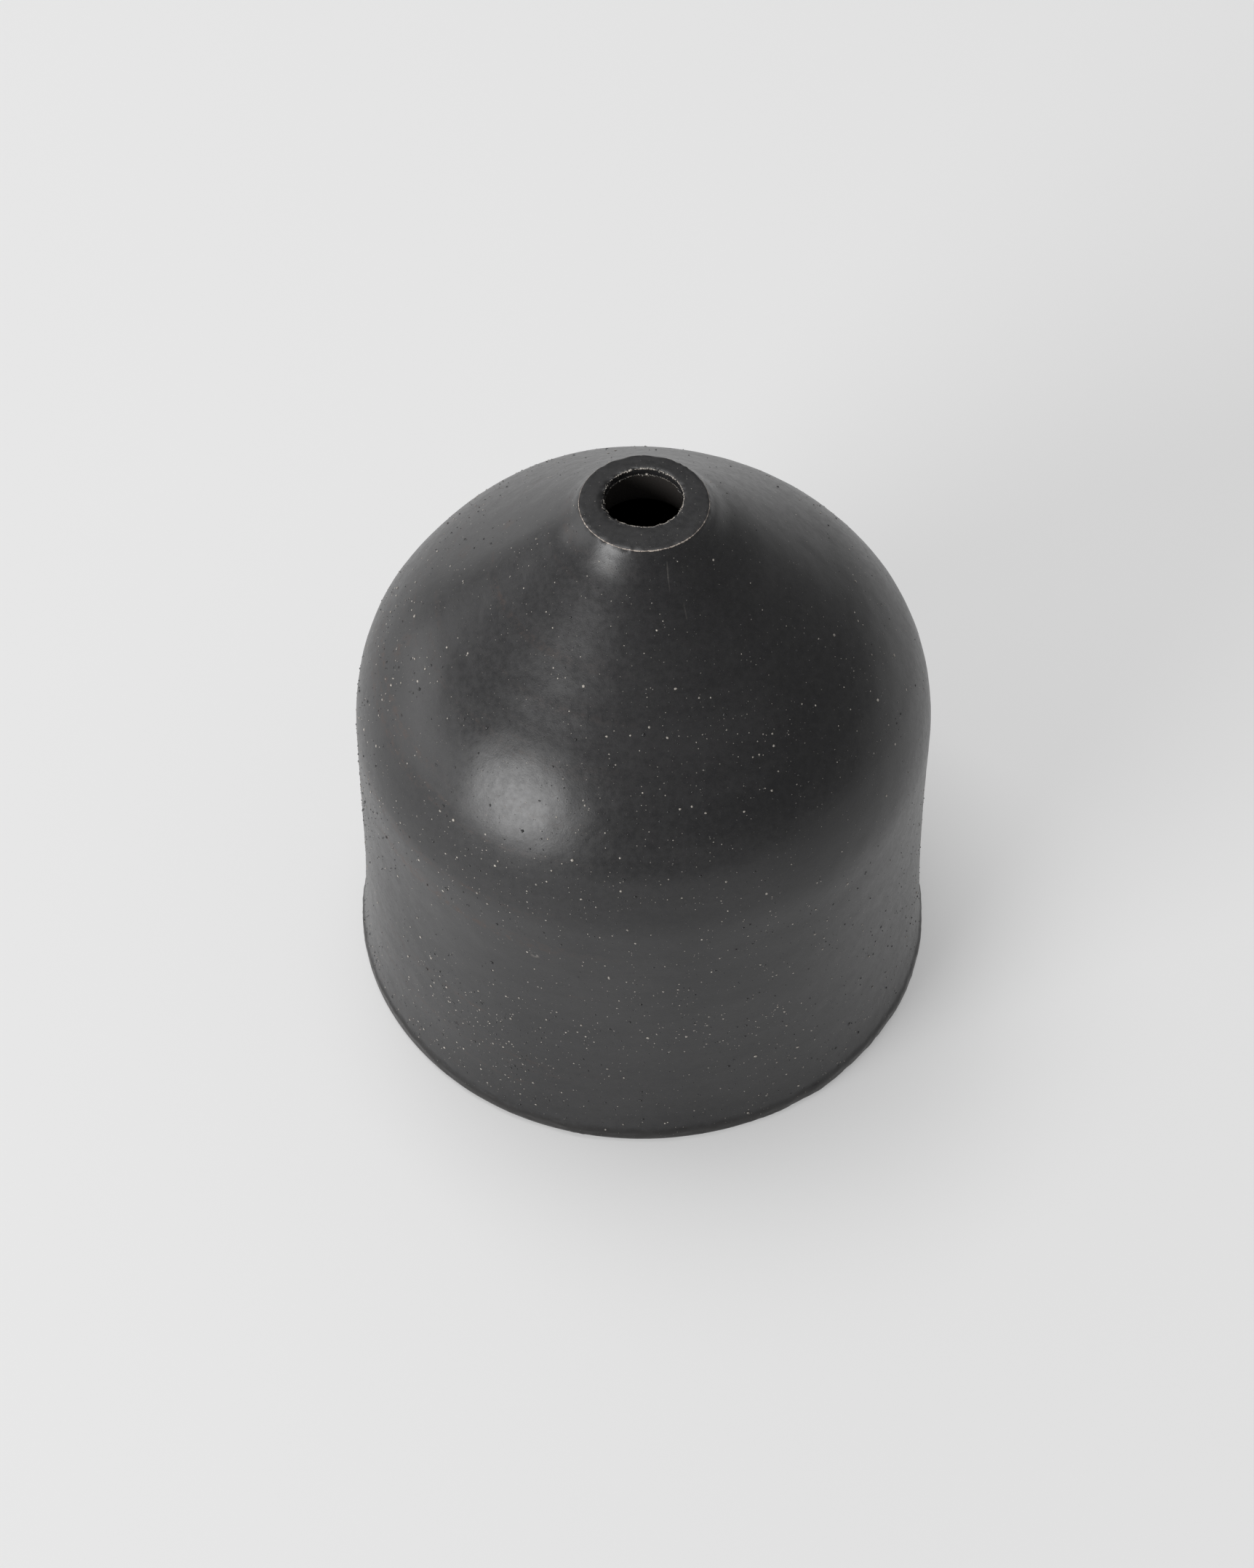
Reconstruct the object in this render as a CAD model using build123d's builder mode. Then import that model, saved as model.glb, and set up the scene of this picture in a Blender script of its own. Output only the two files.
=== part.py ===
from build123d import *

import os
from math import acos, asin, cos, degrees, radians, sin, tan

# Stoneware candle jar: a bell-shaped cover with a vent hole stands on a low dish, over an empty cup.
#
# Millimetres, +Z up. The origin is on the table, in the middle of the dish's underside. Every piece is
# round, so each outline is drawn in the XZ plane and turned about Z. A lean is how far a surface leans
# back from upright, in degrees.

# Cover: outside
total_height = 109.5  # table to the flat ring on top
belly_radius = 50.0  # narrowest upright stretch of the side
belly_band = 10.5  # height of that stretch
side_curve = 540.0  # radius of the side's slow flare below it
shoulder_radius = 33.5  # lower, tighter arc of the dome
shoulder_lean = 32.0  # where the next arc takes over
crown_radius = 56.0  # upper, flatter arc of the dome
cone_lean = 48.2  # straight cone above the dome
neck_radius = 26.0  # hollow arc from the cone up to the ring
ring_lean = 33.0  # where that arc meets the ring
ring_radius = 10.6  # flat cut ring on top
ring_fillet = 0.3  # its outer edge
vent_radius = 6.35  # hole through the ring
vent_offset = 1.2  # the hand-cut hole sits this far behind the axis
vent_wall = 1.6  # height of the hole's upright wall
vent_chamfer = 0.2
throat_step = 0.15  # the throat below the hole stands this far back from it at the rear
throat_depth = 8.0  # from the ring down to the lower edge of the thick collar round the throat
collar_fillet = 1.0

# Cover: wall, lip and seat
cover_wall = 3.4
lip_start = 4.0  # height where the side turns out to the lip
lip_overhang = 0.45  # how far the lip stands out from the side
lip_hollow = 3.0  # radius of the hollow above the lip
lip_round = 2.0  # radius of the lip's own rounding
lip_gap = 0.35  # the lip hangs this far above the table
skirt_wall = 1.9  # the lip's thickness below the seat
rim_fillet = 0.4  # edges of the lip's underside

# Dish
seat_height = 2.5  # edge of the dish, which the cover's seat rests on
seat_clearance = 0.4  # between that edge and the inside of the lip
core_height = 5.5  # raised core, from the table
core_clearance = 0.7  # between the core and the inside of the cover
well_depth = 2.0  # shallow well for the cup
foot_width = 11.0  # flat ring that the dish stands on
foot_recess = 0.8  # how far the underside stands clear inside that ring
dish_fillet = 0.5
seat_fillet = 0.3  # edges of the dish's seat

# Cup
air_gap = 10.6  # between the cup and the upright inside of the cover
headroom = 21.2  # above the cup's rim, up to the inside of the dome
cup_wall = 3.0
cup_floor = 3.5
cup_foot_width = 7.0  # flat ring that the cup stands on
cup_recess = 0.6  # how far its underside stands clear inside that ring
well_clearance = 0.8  # between the cup and its well
cup_foot_fillet = 2.0
cup_corner_fillet = 4.0  # inside, where the wall meets the floor
cup_rim_fillet = 1.2


def polar(centre, radius, angle):
    """The point of a circle at this angle, in degrees."""
    return (centre[0] + radius * cos(radians(angle)), centre[1] + radius * sin(radians(angle)))


# --- cover outline, from the ring down ----------------------------------------
# The neck and the cone hang from the ring, and the dome's two arcs end at the belly: the cone is as long
# as the gap between them, and the upright side takes the rest of the height.
neck_centre = polar((ring_radius, total_height), neck_radius, ring_lean)
cone_top = polar(neck_centre, -neck_radius, cone_lean)
shoulder_x = belly_radius - shoulder_radius
crown_x = polar((shoulder_x, 0), shoulder_radius - crown_radius, shoulder_lean)[0]
cone_foot_x = polar((crown_x, 0), crown_radius, cone_lean)[0]
cone_length = (cone_foot_x - cone_top[0]) / sin(radians(cone_lean))
cone_foot = polar(cone_top, cone_length, cone_lean - 90)
crown_centre = polar(cone_foot, -crown_radius, cone_lean)
shoulder_centre = polar(crown_centre, crown_radius - shoulder_radius, shoulder_lean)
belly_high = shoulder_centre[1]
belly_low = belly_high - belly_band
side_centre = (belly_radius + side_curve, belly_low)


def side_lean(height, inset=0.0):
    """How far the flaring side leans back at this height."""
    return degrees(asin((belly_low - height) / (side_curve + inset)))


def side_point(height, inset=0.0):
    """The side's point at this height, moved inwards by inset."""
    return polar(side_centre, -(side_curve + inset), side_lean(height, inset))


def crown_height(radius, inset):
    """Height of the dome's upper arc at this radius, moved inwards by inset."""
    lean = degrees(acos((radius - crown_centre[0]) / (crown_radius - inset)))
    return polar(crown_centre, crown_radius - inset, lean)[1]


def draw_side(bottom, inset=0.0):
    """Draws the cover's side and dome, moved inwards by inset, and returns their lower and upper ends."""
    foot_lean = side_lean(bottom, inset)
    CenterArc(side_centre, side_curve + inset, 180 + foot_lean, -foot_lean)
    Line((belly_radius - inset, belly_low), (belly_radius - inset, belly_high))
    CenterArc(shoulder_centre, shoulder_radius - inset, 0, shoulder_lean)
    CenterArc(crown_centre, crown_radius - inset, shoulder_lean, cone_lean - shoulder_lean)
    return side_point(bottom, inset), polar(cone_foot, -inset, cone_lean)


# --- sizes that follow from the cover -----------------------------------------
lip_lean = side_lean(lip_start)
lip_radius = side_point(lip_start)[0] + lip_overhang
hollow_centre = polar(side_point(lip_start), lip_hollow, lip_lean)
lip_turn = degrees(acos((hollow_centre[0] + lip_round - lip_radius) / (lip_hollow + lip_round)))
lip_centre = polar(hollow_centre, -(lip_hollow + lip_round), lip_turn)
throat_radius = vent_radius + vent_offset + throat_step
vent_foot = total_height - vent_wall
collar_foot = total_height - throat_depth
skirt_radius = lip_radius - skirt_wall
dish_radius = skirt_radius - seat_clearance
core_radius = side_point(core_height, cover_wall)[0] - core_clearance
foot_inner = dish_radius - foot_width
cup_radius = belly_radius - cover_wall - air_gap
cup_inner = cup_radius - cup_wall
cup_rim = crown_height(cup_radius, cover_wall) - headroom
well_radius = cup_radius + well_clearance
well_base = core_height - well_depth

# --- dome_cover ---------------------------------------------------------------
with BuildPart() as dome_cover:
    with BuildSketch(Plane.XZ):
        with BuildLine():
            ring_corner = (ring_radius, total_height)
            dome_top = draw_side(lip_start)[1]
            Line(dome_top, cone_top)
            CenterArc(neck_centre, neck_radius, 180 + cone_lean, ring_lean - cone_lean)
            CenterArc(hollow_centre, lip_hollow, 180 + lip_lean, lip_turn - lip_lean)
            CenterArc(lip_centre, lip_round, 0, lip_turn)
            Line((lip_radius, lip_centre[1]), (lip_radius, lip_gap))
            Polyline((lip_radius, lip_gap), (0, lip_gap), (0, total_height), ring_corner)
        make_face()
        with BuildLine():
            mouth, cone_inside = draw_side(seat_height, inset=cover_wall)
            collar_radius = cone_inside[0] - (collar_foot - cone_inside[1]) * tan(radians(cone_lean))
            Polyline(mouth, (skirt_radius, seat_height), (skirt_radius, lip_gap), (0, lip_gap))
            Polyline((0, lip_gap), (0, vent_foot), (throat_radius, vent_foot), (throat_radius, collar_foot))
            Polyline((throat_radius, collar_foot), (collar_radius, collar_foot), cone_inside)
        make_face(mode=Mode.SUBTRACT)
    revolve(axis=Axis.Z)
    with Locations((0, vent_offset, total_height)):
        Hole(vent_radius, depth=vent_wall)
    vent_edge, ring_edge = dome_cover.edges().group_by(Axis.Z)[-1].sort_by(SortBy.RADIUS)
    chamfer(vent_edge, vent_chamfer)
    fillet(ring_edge, ring_fillet)
    lip_edges = dome_cover.edges().group_by(Axis.Z)[0]
    fillet(lip_edges, rim_fillet)
    collar_edges = dome_cover.edges().filter_by_position(
        Axis.Z, collar_foot - collar_fillet, collar_foot + collar_fillet
    )
    fillet(collar_edges.filter_by(GeomType.CIRCLE), collar_fillet)
dome_cover.part.label = "dome_cover"

# --- base_dish ----------------------------------------------------------------
with BuildPart() as base_dish:
    with BuildSketch(Plane.XZ):
        with BuildLine():
            Polyline(
                (0, foot_recess),
                (foot_inner, foot_recess),
                (foot_inner, 0),
                (dish_radius, 0),
                (dish_radius, seat_height),
                (core_radius, seat_height),
                (core_radius, core_height),
                (well_radius, core_height),
                (well_radius, well_base),
                (0, well_base),
                close=True,
            )
        make_face()
    revolve(axis=Axis.Z)
    dish_circles = base_dish.edges().filter_by(GeomType.CIRCLE)
    core_edges = dish_circles.group_by(Axis.Z)[-1]
    seat_edges = dish_circles.group_by(SortBy.RADIUS)[-1]
    fillet(core_edges, dish_fillet)
    fillet(seat_edges, seat_fillet)
base_dish.part.label = "base_dish"

# --- candle_cup ---------------------------------------------------------------
with BuildPart() as candle_cup:
    with BuildSketch(Plane.XZ):
        with BuildLine():
            Polyline(
                (0, well_base + cup_recess),
                (cup_radius - cup_foot_width, well_base + cup_recess),
                (cup_radius - cup_foot_width, well_base),
                (cup_radius, well_base),
                (cup_radius, cup_rim),
                (cup_inner, cup_rim),
                (cup_inner, well_base + cup_floor),
                (0, well_base + cup_floor),
                close=True,
            )
        make_face()
    revolve(axis=Axis.Z)
    cup_circles = candle_cup.edges().filter_by(GeomType.CIRCLE)
    foot_edges, recess_edge, floor_edge, rim_edges = cup_circles.group_by(Axis.Z)
    fillet(foot_edges.sort_by(SortBy.RADIUS)[-1], cup_foot_fillet)
    fillet(floor_edge, cup_corner_fillet)
    fillet(rim_edges, cup_rim_fillet)
candle_cup.part.label = "candle_cup"

os.makedirs("parts", exist_ok=True)
for piece in (dome_cover, base_dish, candle_cup):
    export_step(piece.part, f"parts/{piece.part.label}.step")
    print(piece.part.label, round(piece.part.volume), "cubic mm")
print(f"cup rim {cup_rim:.2f}, belly {belly_low:.2f} to {belly_high:.2f}, lip radius {lip_radius:.2f}")
print(f"collar radius {collar_radius:.2f} at {collar_foot:.2f}")
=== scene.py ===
import math

import bpy
import numpy as np
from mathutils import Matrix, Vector


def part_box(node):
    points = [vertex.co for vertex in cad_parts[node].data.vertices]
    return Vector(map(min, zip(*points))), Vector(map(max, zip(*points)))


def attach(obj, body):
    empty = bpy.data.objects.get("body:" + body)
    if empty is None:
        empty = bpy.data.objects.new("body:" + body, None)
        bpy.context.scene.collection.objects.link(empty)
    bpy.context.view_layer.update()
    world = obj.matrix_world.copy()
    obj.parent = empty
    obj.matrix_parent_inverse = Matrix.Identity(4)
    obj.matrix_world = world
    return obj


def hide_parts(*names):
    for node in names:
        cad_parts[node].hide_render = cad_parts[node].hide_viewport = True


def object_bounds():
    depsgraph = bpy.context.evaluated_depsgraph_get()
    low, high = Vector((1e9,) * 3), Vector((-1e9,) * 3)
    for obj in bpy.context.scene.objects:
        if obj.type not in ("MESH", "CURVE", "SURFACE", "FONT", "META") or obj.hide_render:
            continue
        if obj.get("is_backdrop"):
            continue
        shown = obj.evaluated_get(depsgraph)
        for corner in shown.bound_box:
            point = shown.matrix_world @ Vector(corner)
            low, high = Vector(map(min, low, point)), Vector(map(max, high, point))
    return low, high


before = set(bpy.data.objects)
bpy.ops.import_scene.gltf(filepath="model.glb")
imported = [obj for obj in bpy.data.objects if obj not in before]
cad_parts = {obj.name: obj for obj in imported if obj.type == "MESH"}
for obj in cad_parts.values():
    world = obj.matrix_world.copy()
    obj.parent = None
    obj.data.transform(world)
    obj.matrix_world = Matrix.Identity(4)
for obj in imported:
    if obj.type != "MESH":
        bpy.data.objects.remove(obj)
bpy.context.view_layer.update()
perMetre = 1000.0  # sizes below are millimetres and degrees, and meshes are written in metres
fullTurn = 2 * math.pi


# ---- outlines of turned pieces: rows of (radius, height)
def onCircle(centre, radius, angle):
    # centre + radius * (cos, sin)
    turn = math.radians(angle)
    return np.array([centre[0] + radius * math.cos(turn), centre[1] + radius * math.sin(turn)])


def arcPath(centre, radius, fromAngle, toAngle, spacing):
    # even steps of angle round a centre, without the last point
    steps = max(2, math.ceil(abs(math.radians(toAngle - fromAngle)) * radius / spacing))
    turn = np.radians(np.linspace(fromAngle, toAngle, steps, endpoint=False))
    return np.stack([centre[0] + radius * np.cos(turn), centre[1] + radius * np.sin(turn)], axis=1)


def linePath(start, end, spacing):
    # start plus an even share of the way to the end, without the last point
    steps = max(1, math.ceil(math.dist(start, end) / spacing))
    share = np.linspace(0, 1, steps, endpoint=False)[:, None]
    return np.asarray(start) + share * (np.asarray(end) - np.asarray(start))


def roundedPath(corners, radii, spacing, fine):
    # straight runs between the corners, and at each inner corner an arc that touches both of its runs
    parts = []
    last = np.asarray(corners[0], float)
    for here, before, after, radius in zip(corners[1:-1], corners[:-2], corners[2:], radii):
        corner = np.asarray(here, float)
        into = corner - np.asarray(before)
        out = np.asarray(after) - corner
        into = into / np.linalg.norm(into)
        out = out / np.linalg.norm(out)
        bend = math.acos(np.clip(into @ out, -1, 1))
        side = math.copysign(1, into[0] * out[1] - into[1] * out[0])
        cut = radius * math.tan(bend / 2)
        centre = corner - into * cut + side * radius * np.array([-into[1], into[0]])
        spoke = corner - into * cut - centre
        fromAngle = math.degrees(math.atan2(spoke[1], spoke[0]))
        parts.append(linePath(last, corner - into * cut, spacing))
        parts.append(arcPath(centre, radius, fromAngle, fromAngle + side * math.degrees(bend), fine))
        last = corner + out * cut
    parts.append(linePath(last, corners[-1], spacing))
    return np.concatenate(parts)


def outlineFacts(rows, closed):
    # distance along the outline, and the side of each row that faces out: the run turned a right angle
    following = np.roll(rows, -1, axis=0) if closed else np.vstack([rows[1:], rows[-1:]])
    before = np.roll(rows, 1, axis=0) if closed else np.vstack([rows[:1], rows[:-1]])
    run = following - before
    run = run / np.linalg.norm(run, axis=1, keepdims=True)
    along = np.concatenate([[0], np.cumsum(np.linalg.norm(np.diff(rows, axis=0), axis=1))])
    return along, np.stack([run[:, 1], -run[:, 0]], axis=1)


# ---- unevenness of hand work
waveCount = 20
waveSpread = (0.7, 1.4)  # shortest and longest wave, as shares of the length asked for


def waves(points, seed, length):
    # sum of cosines, each with a random direction and phase and a length near the given one, spread about 1
    draw = np.random.default_rng(seed)
    direction = draw.normal(size=(waveCount, 3))
    direction = direction / np.linalg.norm(direction, axis=1, keepdims=True)
    pull = direction * (fullTurn / (length * draw.uniform(*waveSpread, waveCount)))[:, None]
    phase = draw.uniform(0, fullTurn, waveCount)
    return np.cos(points @ pull.T + phase).sum(axis=-1) * math.sqrt(2 / waveCount)


def nearAngle(angle, middle, spread):
    # exp(-(gap / spread)^2), with the gap to the middle angle taken the short way round
    gap = np.remainder(angle - math.radians(middle) + math.pi, fullTurn) - math.pi
    return np.exp(-(gap / math.radians(spread)) ** 2)


def smoothStep(low, high, value):
    # 0 below low, 1 above high, 3 t^2 - 2 t^3 between
    share = np.clip((value - low) / (high - low), 0, 1)
    return share * share * (3 - 2 * share)


# ---- meshes
def pieceFrom(name, points, faces, values=None):
    mesh = bpy.data.meshes.new(name)
    mesh.from_pydata((points.reshape(-1, 3) / perMetre).tolist(), [], faces)
    for key, rowValues in (values or {}).items():
        layer = mesh.attributes.new(key, "FLOAT", "POINT")
        layer.data.foreach_set("value", np.ascontiguousarray(rowValues, np.float32).ravel())
    mesh.polygons.foreach_set("use_smooth", np.ones(len(mesh.polygons), bool))
    mesh.update()
    piece = bpy.data.objects.new(name, mesh)
    bpy.context.scene.collection.objects.link(piece)
    return piece


def gridFaces(rowCount, columnCount, closed):
    # four neighbours of each cell; columns always close, rows close on a ring-shaped piece
    row = np.arange(rowCount if closed else rowCount - 1)[:, None]
    column = np.arange(columnCount)[None, :]
    nextRow = (row + 1) % rowCount
    nextColumn = (column + 1) % columnCount
    corners = [row * columnCount + column, row * columnCount + nextColumn,
               nextRow * columnCount + nextColumn, nextRow * columnCount + column]
    return np.stack(corners, axis=-1).reshape(-1, 4)


def turnedPiece(name, skin, along, columnCount, closed, rowValues):
    # the skin's points on a grid of along by angle; an open outline ends on the axis, in one point
    angle = np.linspace(0, fullTurn, columnCount, endpoint=False)
    points = skin(along[:, None], angle[None, :])[0]
    values = {key: np.broadcast_to(row[:, None], points.shape[:2]) for key, row in rowValues.items()}
    if closed:
        return pieceFrom(name, points, gridFaces(len(along), columnCount, True).tolist(), values)
    body = points[1:-1].reshape(-1, 3)
    ends = np.stack([points[0].mean(axis=0), points[-1].mean(axis=0)])
    cells = gridFaces(len(along) - 2, columnCount, False)
    ring = np.arange(columnCount)
    following = (ring + 1) % columnCount
    lastRing = len(body) - columnCount
    firstFan = np.stack([np.full(columnCount, len(body)), following, ring], axis=1)
    lastFan = np.stack([np.full(columnCount, len(body) + 1), ring + lastRing, following + lastRing], axis=1)
    faces = cells.tolist() + firstFan.tolist() + lastFan.tolist()
    for key, grid in values.items():
        values[key] = np.concatenate([grid[1:-1].ravel(), [grid[0, 0], grid[-1, 0]]])
    return pieceFrom(name, np.vstack([body, ends]), faces, values)


print("frame loaded, outlines ready")

# ---- cover
coverSet = {
    "bellyRadius": 50.0, "bellyBand": 10.5, "sideCurve": 540.0,
    "shoulderRadius": 33.5, "shoulderLean": 32.0, "crownRadius": 56.0, "coneLean": 48.2,
    "neckRadius": 26.0, "neckCut": 2.4, "ringLean": 33.0, "ringRadius": 10.6, "ringRound": 0.22,
    "ventRadius": 6.35, "ventOffset": 1.2, "ventWall": 1.6, "ventRound": 0.18,
    "throatRadius": 7.7, "throatDepth": 8.0, "throatRound": 0.3, "collarRound": 1.0,
    "wall": 3.4, "lipStart": 4.0, "lipHollow": 3.0, "lipRound": 2.0, "lipEdge": 0.4, "skirtWall": 1.9,
    "seatHeight": 2.5, "seatRound": 0.15, "mouthRound": 0.3, "mouthCut": 0.2,
    "columns": 400, "outerStep": 1.2, "innerStep": 4.0, "neckStep": 0.7, "ringStep": 0.33, "ringFine": 0.09,
    "collarStep": 1.2, "collarFine": 0.4, "lipStep": 0.4, "hollowStep": 0.35, "lipFine": 0.15,
    "seatStep": 0.6,
}
# unevenness of the cover: depths, lengths of the waves and how far each effect reaches
coverHand = {
    "seed": 11, "slowDent": 0.13, "dentLength": 46.0, "turningRings": 0.007, "ringsLengths": (3.6, 9.0),
    "ringsStretch": 0.05, "skinRipple": 0.012, "rippleLength": 5.0, "insideShare": 0.4, "outsideFrom": 1.0,
    "ringCalm": (2.2, 1.0), "raggedVent": 0.055, "ventLengths": (2.4, 1.2), "ventFineShare": 0.7,
    "ventReach": 0.45,
    "raggedRing": 0.05, "ringLength": 2.2, "ringReach": 0.35, "raggedLip": 0.05, "lipLength": 8.0,
    "fineLip": 0.03, "fineLipLength": 1.6, "lipReach": (9.0, 1.5), "footBulge": 0.3, "footBulgeAngle": -55.0,
    "footBulgePower": 4, "tearDepth": 0.62, "tearReach": 0.6, "tearAngle": 182.0, "tearSpread": 38.0,
    "tearLength": 1.1, "tearUneven": 0.35, "notchDepth": 0.34, "notchAngle": 222.0, "notchSpread": 9.0,
}
coverLow, coverHigh = (np.array(corner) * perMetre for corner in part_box("dome_cover"))
coverTop = coverHigh[2]
lipGap = coverLow[2]
lipRadius = coverHigh[0]


def coverOutline(c):
    # underside of the lip, up the outside, over the ring, through the vent and back down the inside
    neck = onCircle((c["ringRadius"], coverTop), c["neckRadius"], c["ringLean"])
    coneTop = onCircle(neck, -c["neckRadius"], c["coneLean"])
    shoulderX = c["bellyRadius"] - c["shoulderRadius"]
    crownX = onCircle((shoulderX, 0), c["shoulderRadius"] - c["crownRadius"], c["shoulderLean"])[0]
    coneFootX = onCircle((crownX, 0), c["crownRadius"], c["coneLean"])[0]
    coneLength = (coneFootX - coneTop[0]) / math.sin(math.radians(c["coneLean"]))
    coneFoot = onCircle(coneTop, coneLength, c["coneLean"] - 90)
    crown = onCircle(coneFoot, -c["crownRadius"], c["coneLean"])
    shoulder = onCircle(crown, c["crownRadius"] - c["shoulderRadius"], c["shoulderLean"])
    bellyHigh = shoulder[1]
    bellyLow = bellyHigh - c["bellyBand"]
    side = (c["bellyRadius"] + c["sideCurve"], bellyLow)
    lipLean = math.degrees(math.asin((bellyLow - c["lipStart"]) / c["sideCurve"]))
    hollow = onCircle(onCircle(side, -c["sideCurve"], lipLean), c["lipHollow"], lipLean)
    reach = c["lipHollow"] + c["lipRound"]
    lipTurn = math.degrees(math.acos((hollow[0] + c["lipRound"] - lipRadius) / reach))
    lip = onCircle(hollow, -reach, lipTurn)
    skirtRadius = lipRadius - c["skirtWall"]
    insideSide = c["sideCurve"] + c["wall"]
    mouthLean = math.degrees(math.asin((bellyLow - c["seatHeight"]) / insideSide))
    mouth = onCircle(side, -insideSide, mouthLean)
    ventFoot = coverTop - c["ventWall"]
    collarFoot = coverTop - c["throatDepth"]
    coneInside = onCircle(coneFoot, -c["wall"], c["coneLean"])
    collarRadius = coneInside[0] - (collarFoot - coneInside[1]) * math.tan(math.radians(c["coneLean"]))
    underLip = ((lipRadius + skirtRadius) / 2, lipGap)
    neckStop = c["ringLean"] + c["neckCut"]
    step = c["outerStep"]
    inner = c["innerStep"]
    lipCorners = [underLip, (lipRadius, lipGap), (lipRadius, lip[1])]

    outside = [
        roundedPath(lipCorners, [c["lipEdge"]], c["lipStep"], c["lipFine"]),
        arcPath(lip, c["lipRound"], 0, lipTurn, c["lipStep"]),
        arcPath(hollow, c["lipHollow"], 180 + lipTurn, 180 + lipLean, c["hollowStep"]),
        arcPath(side, c["sideCurve"], 180 + lipLean, 180, step),
        linePath((c["bellyRadius"], bellyLow), (c["bellyRadius"], bellyHigh), step),
        arcPath(shoulder, c["shoulderRadius"], 0, c["shoulderLean"], step),
        arcPath(crown, c["crownRadius"], c["shoulderLean"], c["coneLean"], step),
        linePath(coneFoot, coneTop, step),
        arcPath(neck, c["neckRadius"], 180 + c["coneLean"], 180 + neckStop, c["neckStep"]),
    ]
    throatTop = (c["throatRadius"], ventFoot - 2 * c["throatRound"])
    ringCorners = [onCircle(neck, -c["neckRadius"], neckStop), (c["ringRadius"], coverTop),
                   (c["ventRadius"], coverTop), (c["ventRadius"], ventFoot),
                   (c["throatRadius"], ventFoot), throatTop]
    ringRounds = [c["ringRound"], c["ventRound"], c["ventRound"], c["throatRound"]]
    ringRows = roundedPath(ringCorners, ringRounds, c["ringStep"], c["ringFine"])
    collarCorners = [throatTop, (c["throatRadius"], collarFoot), (collarRadius, collarFoot), coneInside]
    mouthTop = onCircle(side, -insideSide, mouthLean - c["mouthCut"])
    seatCorners = [mouthTop, mouth, (skirtRadius, c["seatHeight"]), (skirtRadius, lipGap), underLip]
    seatRounds = [c["mouthRound"], c["seatRound"], c["lipEdge"]]
    inside = [
        roundedPath(collarCorners, [c["collarRound"], c["collarRound"]], c["collarStep"], c["collarFine"]),
        arcPath(crown, c["crownRadius"] - c["wall"], c["coneLean"], c["shoulderLean"], inner),
        arcPath(shoulder, c["shoulderRadius"] - c["wall"], c["shoulderLean"], 0, inner),
        linePath((c["bellyRadius"] - c["wall"], bellyHigh), (c["bellyRadius"] - c["wall"], bellyLow), inner),
        arcPath(side, insideSide, 180, 180 + mouthLean - c["mouthCut"], inner),
        roundedPath(seatCorners, seatRounds, c["seatStep"], c["lipFine"]),
    ]
    rows = np.concatenate(outside + [ringRows] + inside)
    outsideEnd = sum(map(len, outside))
    return rows, {"outsideEnd": outsideEnd, "ringEnd": outsideEnd + len(ringRows)}


coverRows, coverMarks = coverOutline(coverSet)
coverAlong, coverFacing = outlineFacts(coverRows, True)


def coverShift(rows, marks, c):
    # the vent's centre lies behind the axis, and the ring's flat and the throat lead back to it
    index = np.arange(len(rows))
    radius = rows[:, 0]
    top = np.clip((c["ringRadius"] - radius) / (c["ringRadius"] - c["ventRadius"]), 0, 1)
    under = np.clip((c["throatRadius"] - radius) / (c["throatRadius"] - c["ventRadius"]), 0, 1)
    onTop = (index >= marks["outsideEnd"]) & (rows[:, 1] > coverTop - c["ventWall"] / 2)
    below = (index >= marks["outsideEnd"]) & (index < marks["ringEnd"]) & ~onTop
    return c["ventOffset"] * (top * onTop + under * below)


coverMove = coverShift(coverRows, coverMarks, coverSet)
ventFoot = coverTop - coverSet["ventWall"]


def alongAt(alongRows, rows, point):
    # distance along the outline of the row nearest to a point
    return alongRows[np.argmin(np.linalg.norm(rows - point, axis=1))]


ringAlong = alongAt(coverAlong, coverRows, [coverSet["ringRadius"], coverTop])
ventAlong = alongAt(coverAlong, coverRows, [coverSet["ventRadius"], coverTop])
ventFootAlong = alongAt(coverAlong, coverRows, [coverSet["ventRadius"], ventFoot])


def turned(along, angle, alongRows, rows, facings, shift=0.0):
    # (radius cos, radius sin + shift, height), and the side facing out turned in the same way
    radius = np.interp(along, alongRows, rows[:, 0])
    height = np.interp(along, alongRows, rows[:, 1])
    facingOut = np.interp(along, alongRows, facings[:, 0])
    facingUp = np.interp(along, alongRows, facings[:, 1])
    base = np.stack([radius * np.cos(angle), radius * np.sin(angle) + shift, height], axis=-1)
    facing = np.stack([facingOut * np.cos(angle), facingOut * np.sin(angle), facingUp], axis=-1)
    return base, facing, radius, height


def flattened(base, along, squeeze):
    # places pulled together round the axis, so that waves in them run as rings
    return base * [squeeze, squeeze, 0.0] + np.stack([0 * along, 0 * along, along], axis=-1)


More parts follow.
